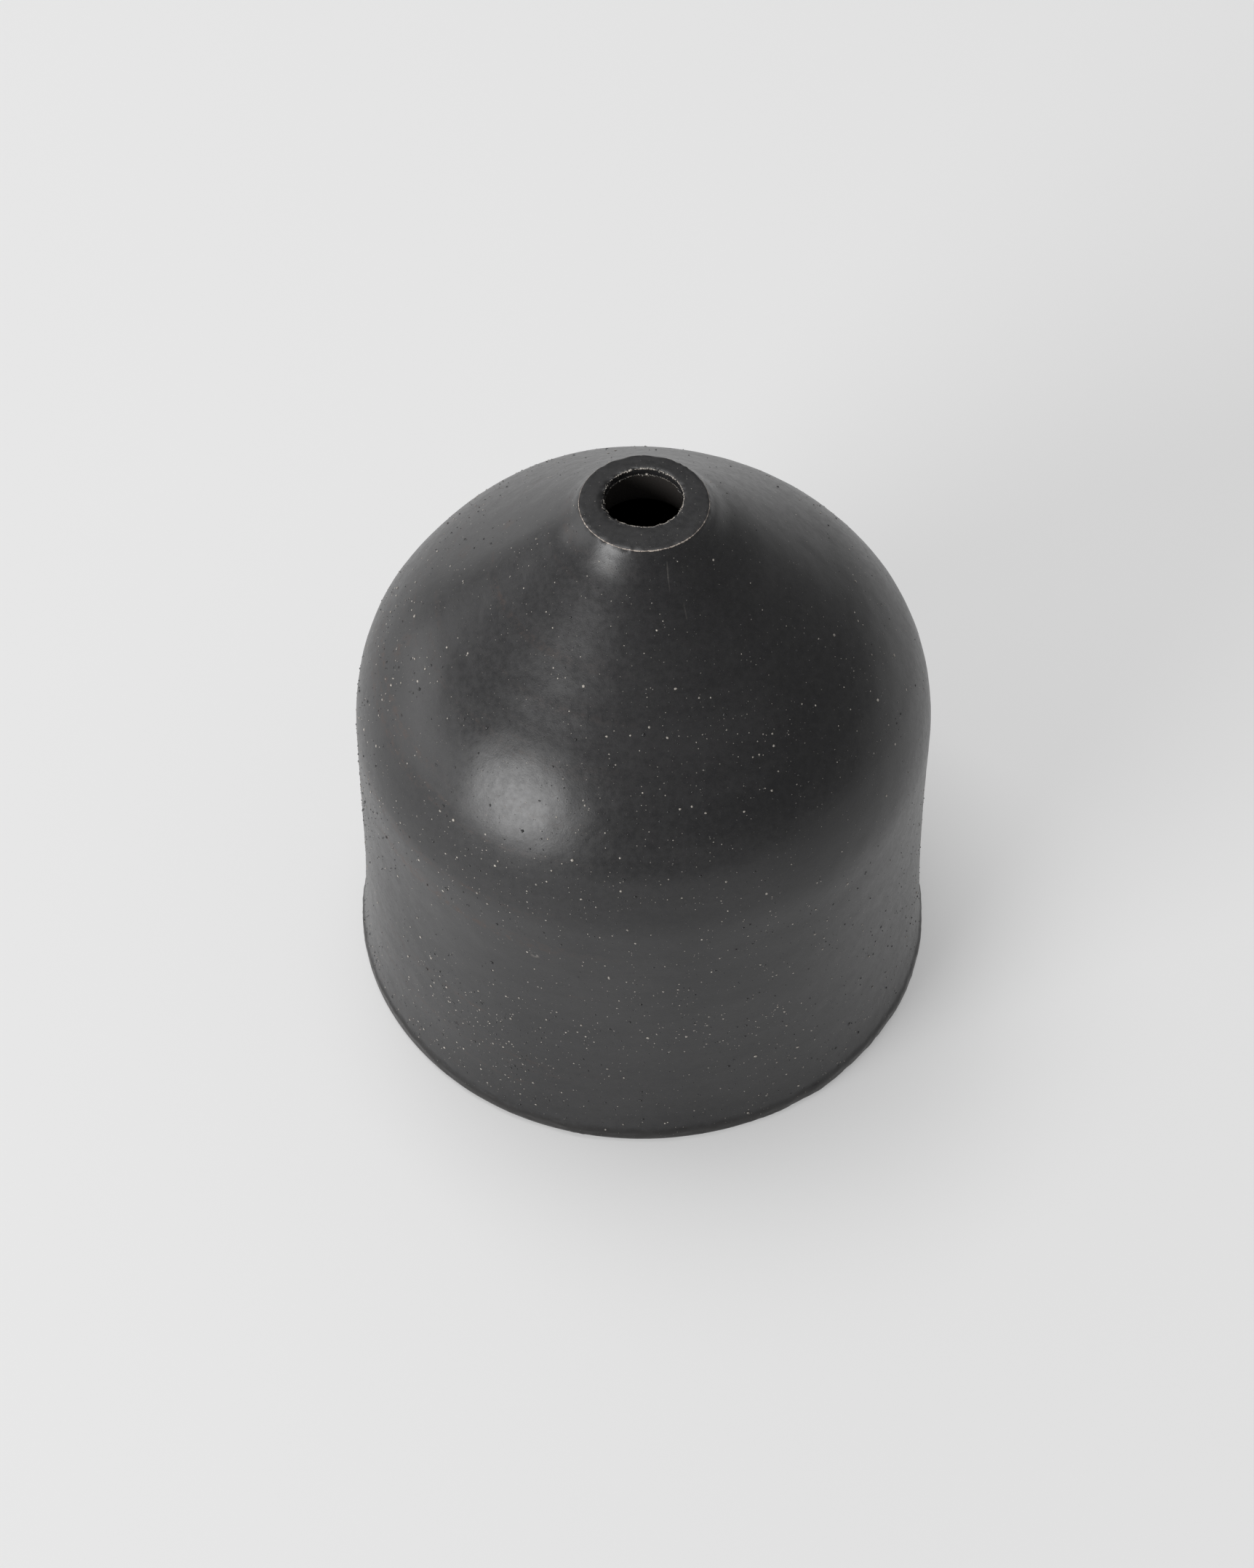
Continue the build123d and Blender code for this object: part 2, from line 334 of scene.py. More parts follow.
def coverSkin(along, angle):
    # the turned outline plus its facing side times dents, turning rings and ragged edges
    along, angle = np.broadcast_arrays(along, angle)
    h = coverHand
    seed = h["seed"]
    shift = np.interp(along, coverAlong, coverMove)
    base, facing, _, height = turned(along, angle, coverAlong, coverRows, coverFacing, shift)
    outside = (along < coverAlong[coverMarks["outsideEnd"]]) & (height > h["outsideFrom"])
    ringMiddle = (ringAlong + ventFootAlong) / 2
    pastRing = np.abs(along - ringMiddle) - (ventFootAlong - ringAlong) / 2
    offRing = 1 - smoothStep(*h["ringCalm"], pastRing)
    lowDown = smoothStep(*h["lipReach"], height) * outside
    rings = flattened(base, along, h["ringsStretch"])
    push = h["slowDent"] * waves(base, seed, h["dentLength"]) * offRing
    ringWaves = waves(rings, seed + 1, h["ringsLengths"][0]) + waves(rings, seed + 2, h["ringsLengths"][1])
    push = push + h["turningRings"] * ringWaves * offRing
    push = push + h["skinRipple"] * waves(base, seed + 3, h["rippleLength"])
    push = push * np.where(outside, 1.0, h["insideShare"])
    toVentEdge = np.minimum(abs(along - ventAlong), abs(along - ventFootAlong))
    atVent = np.exp(-(toVentEdge / h["ventReach"]) ** 2)
    atRing = np.exp(-((along - ringAlong) / h["ringReach"]) ** 2)
    ventCoarse = np.abs(waves(base, seed + 4, h["ventLengths"][0]))
    ventFine = np.abs(waves(base, seed + 5, h["ventLengths"][1]))
    push = push - h["raggedVent"] * atVent * (ventCoarse + h["ventFineShare"] * ventFine)
    push = push - h["raggedRing"] * atRing * np.abs(waves(base, seed + 6, h["ringLength"]))
    torn = np.exp(-((along - ventAlong) / h["tearReach"]) ** 2)
    torn = torn * (1 + h["tearUneven"] * waves(base, seed + 8, h["tearLength"]))
    tear = h["tearDepth"] * nearAngle(angle, h["tearAngle"], h["tearSpread"])
    tear = tear + h["notchDepth"] * nearAngle(angle, h["notchAngle"], h["notchSpread"])
    push = push - tear * torn
    lipWaves = h["raggedLip"] * waves(base, seed + 7, h["lipLength"])
    lipWaves = lipWaves + h["fineLip"] * waves(base, seed + 9, h["fineLipLength"])
    push = push + lowDown * lipWaves
    towardsBulge = np.cos((angle - math.radians(h["footBulgeAngle"])) / 2) ** h["footBulgePower"]
    return base + facing * (push + h["footBulge"] * lowDown * towardsBulge)[..., None], facing


bareSet = {"footFade": (1.2, 0.5), "footInset": 0.3, "throatStart": 0.7}
insideLip = coverRows[:, 0] < lipRadius - bareSet["footInset"]
bareFoot = smoothStep(*bareSet["footFade"], coverRows[:, 1]) * insideLip
coverValues = {
    "along": coverAlong,
    "toRing": np.abs(coverAlong - ringAlong),
    "toVent": np.minimum(np.abs(coverAlong - ventAlong), np.abs(coverAlong - ventFootAlong)),
    "bare": np.maximum(bareFoot, coverAlong > ventFootAlong + bareSet["throatStart"]),
}
coverPiece = turnedPiece("domeCover", coverSkin, coverAlong, coverSet["columns"], True, coverValues)
print("cover rows", len(coverRows), "faces", len(coverPiece.data.polygons))


# ---- grog: grains in the clay that stand up under the glaze
grainSides = 8
grainRings = 2
farOff = 50.0  # a distance that keeps edge wear away
grainShape = {"uneven": (0.78, 1.2), "longer": (0.85, 1.25), "crown": 0.96, "sink": 0.03, "root": 0.15,
              "paleness": (0.45, 1.0), "riseSpread": (0.6, 1.25), "triesPerSpot": 8}


def grainPiece(name, seed, skin, along, angle, size, rise, bareShare):
    # rise * (1 - (distance / size)^2)^2 over each spot of the skin, closed by a point below it
    draw = np.random.default_rng(seed)
    g = grainShape
    centre, facing = skin(along, angle)
    facing = facing / np.linalg.norm(facing, axis=-1, keepdims=True)
    across = np.stack([-np.sin(angle), np.cos(angle), 0 * angle], axis=-1)
    upward = np.cross(facing, across)
    turn = np.linspace(0, fullTurn, grainSides, endpoint=False)[None, :]
    turn = turn + draw.uniform(0, 1, (len(along), 1))
    uneven = draw.uniform(*g["uneven"], turn.shape)
    longer = draw.uniform(*g["longer"], (len(along), 1, 1))
    flat = across[:, None] * np.cos(turn)[..., None] * longer + upward[:, None] * np.sin(turn)[..., None]
    parts = [centre[:, None] + facing[:, None] * (rise * g["crown"])[:, None, None]]
    for ring in range(1, grainRings + 1):
        share = ring / grainRings
        reach = (size[:, None] * uneven * share)[..., None]
        lift = rise * (1 - share ** 2) ** 2 - g["sink"] * share
        parts.append(centre[:, None] + flat * reach + facing[:, None] * lift[:, None, None])
    parts.append(centre[:, None] - facing[:, None] * g["root"])
    points = np.concatenate(parts, axis=1)
    one = points.shape[1]
    ring = 1 + np.arange(grainSides)
    after = 1 + (np.arange(grainSides) + 1) % grainSides
    last = (grainRings - 1) * grainSides
    top = np.stack([0 * ring, ring, after], axis=1)
    below = np.stack([0 * ring + one - 1, after + last, ring + last], axis=1)
    bands = [np.stack([ring + k, ring + k + grainSides, after + k + grainSides, after + k], axis=1)
             for k in range(0, last, grainSides)]
    start = (np.arange(len(along)) * one)[:, None, None]
    faces = (top + start).reshape(-1, 3).tolist() + (below + start).reshape(-1, 3).tolist()
    for band in bands:
        faces = faces + (band + start).reshape(-1, 4).tolist()
    bare = (draw.uniform(0, 1, len(along)) < bareShare) * draw.uniform(*g["paleness"], len(along))
    ringShare = np.arange(1, grainRings + 1) / grainRings
    capHeight = np.concatenate([[1.0], np.repeat((1 - ringShare ** 3) ** 2, grainSides), [0.0]])
    values = {
        "along": np.repeat(along, one),
        "toRing": np.full(len(along) * one, farOff),
        "toVent": np.full(len(along) * one, farOff),
        "grain": (bare[:, None] * capHeight).ravel(),
        "onGrain": np.full(len(along) * one, 1.0),
    }
    return pieceFrom(name, points, faces, values)


def scatterSpots(seed, count, alongRange, alongRows, radiusRows, weight):
    # random spots, kept with a chance that goes with the radius there and with the weight
    draw = np.random.default_rng(seed)
    tries = count * grainShape["triesPerSpot"]
    along = draw.uniform(alongRange[0], alongRange[1], tries)
    angle = draw.uniform(-math.pi, math.pi, tries)
    radius = np.interp(along, alongRows, radiusRows)
    chance = radius / radius.max() * weight(along, angle)
    kept = draw.uniform(0, 1, tries) < chance / chance.max()
    return along[kept][:count], angle[kept][:count]


def grainSizes(seed, count, g):
    # the smallest size plus an exponential tail
    draw = np.random.default_rng(seed)
    size = np.minimum(g["smallest"] + draw.exponential(g["spread"], count), g["largest"])
    return size, size * g["flatness"] * draw.uniform(*grainShape["riseSpread"], count)


coverGrainSet = {
    "seed": 32, "count": 6000, "smallest": 0.09, "spread": 0.062, "largest": 0.35, "flatness": 0.58,
    "bareShare": 0.4, "fromRow": 14, "ringMargin": 1.2,
    "patchSeed": 31, "patchRadius": 30, "patchLength": 26.0, "patchBase": 0.75, "patchDepth": 0.35,
    "patchLimits": (0.15, 1.6), "leftAngle": 20, "rightShare": 0.28, "leftShare": 0.75,
    "topShare": 0.4, "domeShare": 0.35, "domeFrom": (100, 80), "wallShare": 0.35, "wallFrom": (62, 48),
}


def coverGrainWeight(along, angle):
    # thicker on the left, on the dome and on the wall, thin near the top and on the right, in patches
    g = coverGrainSet
    height = np.interp(along, coverAlong, coverRows[:, 1])
    left = 0.5 - 0.5 * np.cos(angle - math.radians(g["leftAngle"]))
    places = np.stack([g["patchRadius"] * np.cos(angle), g["patchRadius"] * np.sin(angle), along], axis=-1)
    patches = g["patchBase"] + g["patchDepth"] * waves(places, g["patchSeed"], g["patchLength"])
    lower = g["topShare"] + g["domeShare"] * smoothStep(*g["domeFrom"], height)
    lower = lower + g["wallShare"] * smoothStep(*g["wallFrom"], height)
    return np.clip(patches, *g["patchLimits"]) * (g["rightShare"] + g["leftShare"] * left) * lower


grainRange = (coverAlong[coverGrainSet["fromRow"]], ringAlong - coverGrainSet["ringMargin"])
grainAlong, grainAngle = scatterSpots(coverGrainSet["seed"], coverGrainSet["count"], grainRange, coverAlong,
                                      coverRows[:, 0], coverGrainWeight)
grainSize, grainRise = grainSizes(coverGrainSet["seed"] + 1, len(grainAlong), coverGrainSet)
coverGrains = grainPiece("coverGrains", coverGrainSet["seed"] + 2, coverSkin, grainAlong, grainAngle,
                         grainSize, grainRise, coverGrainSet["bareShare"])

# the vent was cut through leather-hard clay, which tore grains loose along both of its edges
ventGrainSet = {"seed": 35, "count": 300, "triesPerSpot": 3, "smallest": 0.07, "spread": 0.055,
                "largest": 0.26, "flatness": 0.95, "bareShare": 0.95, "scatter": 0.1, "backAngle": 115.0,
                "frontChance": 0.12}
ventDraw = np.random.default_rng(ventGrainSet["seed"])
ventTries = ventGrainSet["count"] * ventGrainSet["triesPerSpot"]
ventEdges = np.where(ventDraw.uniform(0, 1, ventTries) < 0.5, ventAlong, ventFootAlong)
ventGrainAlong = ventEdges + ventDraw.normal(0, ventGrainSet["scatter"], ventTries)
ventGrainAngle = ventDraw.uniform(-math.pi, math.pi, ventTries)
atBack = (0.5 + 0.5 * np.cos(ventGrainAngle - math.radians(ventGrainSet["backAngle"]))) ** 2
ventChance = ventGrainSet["frontChance"] + (1 - ventGrainSet["frontChance"]) * atBack
ventKept = np.flatnonzero(ventDraw.uniform(0, 1, ventTries) < ventChance)[:ventGrainSet["count"]]
ventGrainSize, ventGrainRise = grainSizes(ventGrainSet["seed"] + 1, len(ventKept), ventGrainSet)
ventGrains = grainPiece("ventGrains", ventGrainSet["seed"] + 2, coverSkin, ventGrainAlong[ventKept],
                        ventGrainAngle[ventKept], ventGrainSize, ventGrainRise, ventGrainSet["bareShare"])
print("cover grains", len(grainAlong), "vent grains", len(ventKept))

# ---- dish
dishSet = {
    "seatHeight": 2.5, "coreRadius": 47.44, "wellRadius": 36.8, "wellDepth": 2.0, "footWidth": 11.0,
    "footRecess": 0.8, "footRound": 0.3, "edgeRound": 0.3, "seatRound": 0.25, "coreRound": 0.5,
    "wellRound": 0.35, "columns": 320, "step": 1.1, "fineStep": 0.12,
    "seed": 41, "slowDent": 0.04, "dentLength": 30.0, "turningRings": 0.035, "ringsLength": 3.4,
    "ringsStretch": 0.05, "calmFoot": (0.15, 0.9), "calmEdge": 0.3, "calmCore": 0.2,
    "bareAbove": 0.25, "bareFootInset": 0.5, "bareUnder": 0.9,
}
dishHigh = np.array(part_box("base_dish")[1]) * perMetre
dishRadius = dishHigh[0]
dishTop = dishHigh[2]
wellBase = dishTop - dishSet["wellDepth"]
footInner = dishRadius - dishSet["footWidth"]


def dishOutline(d):
    # from the middle of the underside round the foot and the seat to the middle of the well
    corners = [(0, d["footRecess"]), (footInner, d["footRecess"]), (footInner, 0), (dishRadius, 0),
               (dishRadius, d["seatHeight"]), (d["coreRadius"], d["seatHeight"]), (d["coreRadius"], dishTop),
               (d["wellRadius"], dishTop), (d["wellRadius"], wellBase), (0, wellBase)]
    rounds = [d["footRound"], d["footRound"], d["footRound"], d["edgeRound"], d["seatRound"],
              d["coreRound"], d["coreRound"], d["wellRound"]]
    return np.vstack([roundedPath(corners, rounds, d["step"], d["fineStep"]), [(0, wellBase)]])


dishRows = dishOutline(dishSet)
dishAlong, dishFacing = outlineFacts(dishRows, False)


def dishSkin(along, angle):
    # the turned outline plus its facing side times slow dents and turning rings, calm at foot and seat
    along, angle = np.broadcast_arrays(along, angle)
    d = dishSet
    base, facing, radius, height = turned(along, angle, dishAlong, dishRows, dishFacing)
    rings = flattened(base, along, d["ringsStretch"])
    free = smoothStep(*d["calmFoot"], height)
    free = free * smoothStep(dishRadius - d["calmEdge"], d["coreRadius"] + d["calmCore"], radius)
    push = d["slowDent"] * waves(base, d["seed"], d["dentLength"])
    push = push + d["turningRings"] * waves(rings, d["seed"] + 1, d["ringsLength"])
    return base + facing * (push * free)[..., None], facing


coreEdge = alongAt(dishAlong, dishRows, [dishSet["coreRadius"], dishTop])
wellEdge = alongAt(dishAlong, dishRows, [dishSet["wellRadius"], dishTop])
onSeat = dishRows[:, 1] <= dishSet["seatHeight"] + dishSet["bareAbove"]
onSeat = onSeat * (dishRows[:, 0] > footInner - dishSet["bareFootInset"])
dishValues = {
    "along": dishAlong,
    "toRing": np.minimum(np.abs(dishAlong - coreEdge), np.abs(dishAlong - wellEdge)),
    "toVent": np.full(len(dishRows), farOff),
    "bare": np.clip(onSeat + (dishRows[:, 1] <= dishSet["bareUnder"]) * 1.0, 0, 1),
}
dishPiece = turnedPiece("baseDish", dishSkin, dishAlong, dishSet["columns"], False, dishValues)
print("dish rows", len(dishRows), "faces", len(dishPiece.data.polygons))

# ---- cup
cupSet = {
    "wall": 3.0, "floor": 3.5, "footWidth": 7.0, "recess": 0.6, "recessRound": 0.3, "footRound": 2.0,
    "cornerRound": 4.0, "rimRound": 1.2, "columns": 320, "step": 0.9, "fineStep": 0.22,
    "seed": 51, "slowDent": 0.07, "dentLength": 34.0, "turningRings": 0.07, "ringsLength": 5.0,
    "ringsStretch": 0.06, "skinRipple": 0.014, "rippleLength": 5.0, "calmFoot": (0.1, 4.0),
    "calmRim": (0.0, 1.5),
    "bareFoot": 3.2, "bareFade": 0.4, "rimLean": 0.001, "rimWorn": 0.3,
}
cupLow, cupHigh = (np.array(corner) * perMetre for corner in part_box("candle_cup"))
cupRadius = cupHigh[0]
cupRim = cupHigh[2]
cupFoot = cupLow[2]


def cupOutline(c):
    # from the middle of the underside round the foot, up the wall, over the rim and down to the floor
    innerRadius = cupRadius - c["wall"]
    ringInner = cupRadius - c["footWidth"]
    corners = [(0, cupFoot + c["recess"]), (ringInner, cupFoot + c["recess"]), (ringInner, cupFoot),
               (cupRadius, cupFoot), (cupRadius, cupRim), (innerRadius, cupRim),
               (innerRadius, cupFoot + c["floor"]), (0, cupFoot + c["floor"])]
    rounds = [c["recessRound"], c["recessRound"], c["footRound"], c["rimRound"], c["rimRound"],
              c["cornerRound"]]
    return np.vstack([roundedPath(corners, rounds, c["step"], c["fineStep"]), [(0, cupFoot + c["floor"])]])


cupRows = cupOutline(cupSet)
cupAlong, cupFacing = outlineFacts(cupRows, False)


def cupSkin(along, angle):
    # the turned outline plus its facing side times dents, throwing rings and ripple, calm at foot and rim
    along, angle = np.broadcast_arrays(along, angle)
    c = cupSet
    base, facing, _, height = turned(along, angle, cupAlong, cupRows, cupFacing)
    rings = flattened(base, along, c["ringsStretch"])
    free = smoothStep(*c["calmFoot"], height - cupFoot) * smoothStep(*c["calmRim"], cupRim - height)
    push = c["slowDent"] * waves(base, c["seed"], c["dentLength"])
    push = push + c["turningRings"] * waves(rings, c["seed"] + 1, c["ringsLength"])
    push = push + c["skinRipple"] * waves(base, c["seed"] + 2, c["rippleLength"])
    return base + facing * (push * free)[..., None], facing


cupOutside = cupAlong < cupAlong[np.argmax(cupRows[:, 1])]
bareTop = cupFoot + cupSet["bareFoot"]
rimAlong = cupAlong[np.argmax(cupRows[:, 1] + cupSet["rimLean"] * cupRows[:, 0])]
cupValues = {
    "along": cupAlong,
    "toRing": np.abs(cupAlong - rimAlong) - cupSet["rimWorn"],
    "toVent": np.full(len(cupRows), farOff),
    "bare": smoothStep(bareTop + cupSet["bareFade"], bareTop, cupRows[:, 1]) * cupOutside,
}
cupPiece = turnedPiece("candleCup", cupSkin, cupAlong, cupSet["columns"], False, cupValues)
print("cup rows", len(cupRows), "faces", len(cupPiece.data.polygons))

cupGrainSet = {"seed": 54, "count": 520, "smallest": 0.13, "spread": 0.07, "largest": 0.38, "flatness": 0.45,
               "bareShare": 0.3, "fromHeight": 2.5, "wallFit": 0.01, "toRow": -12}
onWall = cupRows[:, 1] > cupFoot + cupGrainSet["fromHeight"]
onWall = onWall & (cupRows[:, 0] > cupRadius - cupGrainSet["wallFit"])
cupGrainRange = (cupAlong[np.argmax(onWall)], cupAlong[cupGrainSet["toRow"]])
cupGrainAlong, cupGrainAngle = scatterSpots(cupGrainSet["seed"], cupGrainSet["count"], cupGrainRange,
                                            cupAlong, cupRows[:, 0],
                                            lambda along, angle: np.ones_like(along))
cupGrainSize, cupGrainRise = grainSizes(cupGrainSet["seed"] + 1, len(cupGrainAlong), cupGrainSet)
cupGrains = grainPiece("cupGrains", cupGrainSet["seed"] + 2, cupSkin, cupGrainAlong, cupGrainAngle,
                       cupGrainSize, cupGrainRise, cupGrainSet["bareShare"])


# ---- materials
def newNode(tree, kind, inputs=None, **settings):
    node = tree.nodes.new(kind)
    for key, value in settings.items():
        setattr(node, key, value)
    for key, value in (inputs or {}).items():
        if isinstance(value, bpy.types.NodeSocket):
            tree.links.new(value, node.inputs[key])
        else:
            node.inputs[key].default_value = value
    return node


def mathNode(tree, operation, first, second):
    return newNode(tree, "ShaderNodeMath", {0: first, 1: second}, operation=operation).outputs[0]


def times(tree, first, second):
    return mathNode(tree, "MULTIPLY", first, second)


def plus(tree, first, second):
    return mathNode(tree, "ADD", first, second)


def minus(tree, first, second):
    return mathNode(tree, "SUBTRACT", first, second)


def larger(tree, first, second):
    return mathNode(tree, "MAXIMUM", first, second)


def stepNode(tree, value, low, high, toLow=0.0, toHigh=1.0):
    inputs = {"Value": value, "From Min": low, "From Max": high, "To Min": toLow, "To Max": toHigh}
    return newNode(tree, "ShaderNodeMapRange", inputs, interpolation_type="SMOOTHSTEP").outputs[0]


def mixColour(tree, share, first, second):
    return newNode(tree, "ShaderNodeMix", {0: share, 6: first, 7: second}, data_type="RGBA").outputs[2]


def mixValue(tree, share, first, second):
    return newNode(tree, "ShaderNodeMix", {0: share, 2: first, 3: second}).outputs[0]


def noiseNode(tree, vector, scale, detail, rough):
    inputs = {"Vector": vector, "Scale": scale, "Detail": detail, "Roughness": rough}
    return newNode(tree, "ShaderNodeTexNoise", inputs).outputs[0]


def attributeNode(tree, name):
    return newNode(tree, "ShaderNodeAttribute", attribute_name=name).outputs["Fac"]


def vectorNode(tree, operation, first, second, output="Vector"):
    return newNode(tree, "ShaderNodeVectorMath", {0: first, 1: second}, operation=operation).outputs[output]


def awayFrom(tree, place, spot):
    return vectorNode(tree, "DISTANCE", place, spot, "Value")


def awayFromLine(tree, place, start, end):
    # |p - start - t (end - start)|, with t the share of the way along, kept between 0 and 1
    run = Vector(end) - Vector(start)
    fromStart = vectorNode(tree, "SUBTRACT", place, start)
    share = times(tree, vectorNode(tree, "DOT_PRODUCT", fromStart, run, "Value"), 1 / run.length_squared)
    share = newNode(tree, "ShaderNodeClamp", {"Value": share}).outputs[0]
    onLine = newNode(tree, "ShaderNodeVectorMath", {0: run, "Scale": share}, operation="SCALE").outputs[0]
    return awayFrom(tree, fromStart, onLine)


def spotsIn(tree, place, cells, share, reach, edge):
    # round spots, one near the middle of some of the cells; a cell's own chance gives the spot its size
    voronoi = newNode(tree, "ShaderNodeTexVoronoi", {"Vector": place, "Scale": cells})
    chance = newNode(tree, "ShaderNodeSeparateColor", {0: voronoi.outputs["Color"]})
    size = stepNode(tree, chance.outputs[0], 1.0 - share, 1.0, 0.0, reach)
    return stepNode(tree, minus(tree, size, voronoi.outputs["Distance"]), *edge), chance.outputs[1]


# cells are patches or spots per millimetre; noises are (cells, detail, roughness); colours are linear
glazeSet = {
    "dark": (0.0125, 0.0124, 0.0132, 1), "light": (0.0262, 0.0257, 0.0265, 1),
    # lip is the dark brown colour of the painted shade along the cover's foot
    "rust": (0.05, 0.026, 0.017, 1), "brown": (0.13, 0.07, 0.045, 1), "lip": (0.0075, 0.0062, 0.0056, 1),
    "speck": (0.52, 0.48, 0.43, 1), "worn": (0.5, 0.45, 0.4, 1), "clay": (0.085, 0.068, 0.058, 1),
    "clayShade": 0.6,
    "cloud": (0.035, 3.0, 0.55), "cloudShare": 0.9, "streak": (0.42, 3.0, 0.6), "streakShare": 0.35,
    "streakSqueeze": 0.035, "mottle": (0.9, 4.0, 0.65), "mottleShare": 0.6, "grit": (4.5, 2.0, 0.6),
    "gritShare": 0.45, "toneRange": (0.85, 1.45),
    "rustSide": (5.0, -35.0), "rustNoise": (0.3, 5.0, 0.7), "rustRange": (0.53, 0.68), "rustShare": 0.5,
    "fineRange": (0.42, 0.62), "rustCore": 0.3,
    "lipShadeTop": 3.2, "lipShadeFade": 1.4, "lipShadeRagged": 1.6, "lipShadeShare": 0.85,
    "speckCells": 0.62, "speckShare": 0.08, "speckReach": 0.125, "speckEdge": (-0.012, 0.03),
    "speckFaintest": 0.25, "speckHeight": 0.03,
    "fineSpeckGlintCells": 1.35, "fineSpeckGlintShare": 1.0, "fineSpeckGlintReach": 0.13, "fineSpeckGlintEdge": (-0.015, 0.03),
    "fineSpeckGlintTones": (0.08, 0.45), "fineSpeckGlintHeight": 0.04,
    "ragged": (1.6, 4.0, 0.7), "fineRag": (5.0, 2.0, 0.6),
    "ringFront": (4.0, -9.0, 0.3, 1.0), "ringChips": (0.44, 0.62), "ringFineShare": 0.5, "ringWear": 0.1,
    "ringLine": 0.01, "ringEdge": (-0.03, 0.05), "brownRagged": 0.07, "brownEdge": (-0.02, 0.05),
    "brownShare": 0.7, "ventWear": 0.2, "ventFront": (3.0, -4.0), "ventLine": 0.05,
    "ventEdge": (-0.05, 0.06), "wornShare": 0.85,
    "scratchRagged": 0.1, "smudgeCore": 0.2, "bareRagged": 0.3, "bareEdge": (0.6, 0.72),
    "roughness": 0.35, "roughSpread": 0.08, "roughRange": (0.3, 0.75), "wornRoughness": 0.3,
    "grainRoughness": 0.3, "clayRoughness": 0.85, "refraction": 1.5,
    "ripple": (0.55, 3.0, 0.55), "rippleHeight": 0.028, "gritHeight": 0.0098, "bareHeight": 0.08,
    "pitCells": 1.15, "pitShare": 0.8, "pitReach": 0.13, "pitEdge": (-0.01, 0.03), "pitHeight": 0.065,
}
# marks of use on the cover: scratches are (start, end, half width, strength), spots (place, reach, strength)
markSet = {
    "scratches": [((3.6, -11.3, 107.7), (3.8, -13.0, 105.8), 0.13, 0.16),
                  ((3.8, -13.0, 105.8), (4.1, -14.7, 104.1), 0.11, 0.12),
                  ((6.3, -15.7, 102.6), (6.8, -17.5, 101.0), 0.12, 0.09)],
    "smudges": [((-18.1, -46.6, 49.3), 1.1, 0.3)],
    "rustSpots": [((-41.1, -5.8, 79.4), 2.4, 0.9), ((-39.5, -5.2, 81.5), 2.0, 0.8),
                  ((-29.7, 6.3, 90.6), 2.2, 0.7), ((-22.3, 7.1, 96.8), 2.0, 0.7)],
}
unmarked = {"scratches": [], "smudges": [], "rustSpots": []}


